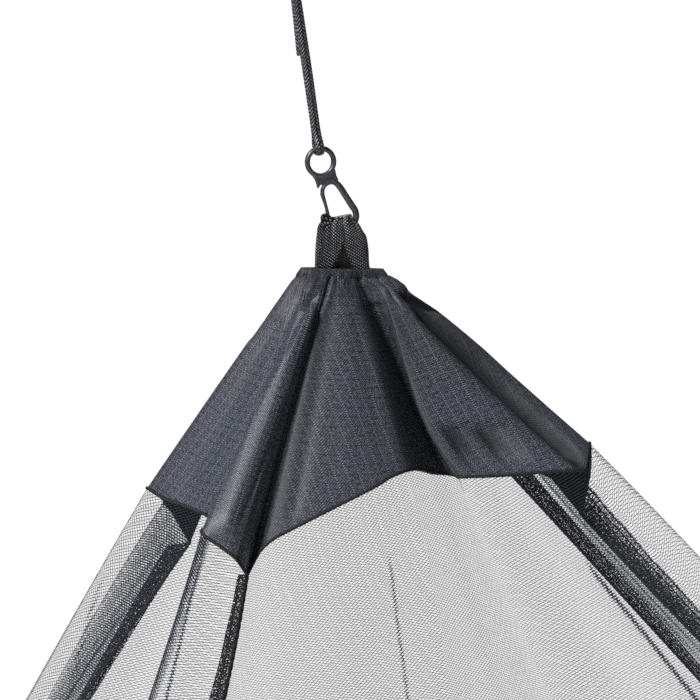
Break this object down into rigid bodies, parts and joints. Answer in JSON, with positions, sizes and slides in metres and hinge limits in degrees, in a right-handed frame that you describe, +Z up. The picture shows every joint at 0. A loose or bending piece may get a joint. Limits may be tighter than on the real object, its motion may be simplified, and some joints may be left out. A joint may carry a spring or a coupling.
{
  "type": "mosquito net tent",
  "caption": "Pyramid mosquito net with a gathered ripstop cap, hung by a braided cord from a snap hook and webbing loop, open below over a sleeper.",
  "frame": {"origin": "where the top of the cord's loop bears on what holds the tent up", "axes": "+Z up along the cord, X along the tent's long side, -Y the front"},
  "size_m": [2.2012, 1.202, 1.6769],
  "materials": {
    "ripstop": "slate grey ripstop with a low sheen",
    "net": "black knitted net, see-through",
    "webbing": "black woven webbing",
    "hook": "satin gunmetal",
    "cord": "black flat braid"
  },
  "bodies": {
    "root": {"cap_front": "ripstop", "cap_right": "ripstop", "cap_back": "ripstop", "cap_left": "ripstop", "net_front": "net", "net_right": "net", "net_back": "net", "net_left": "net", "webbing_loop": "webbing", "snap_hook": "hook", "cord_front": "cord", "cord_back": "cord", "cord_knot": "cord", "cord_loop": "cord", "cord_tail": "cord"}
  },
  "joints": []
}
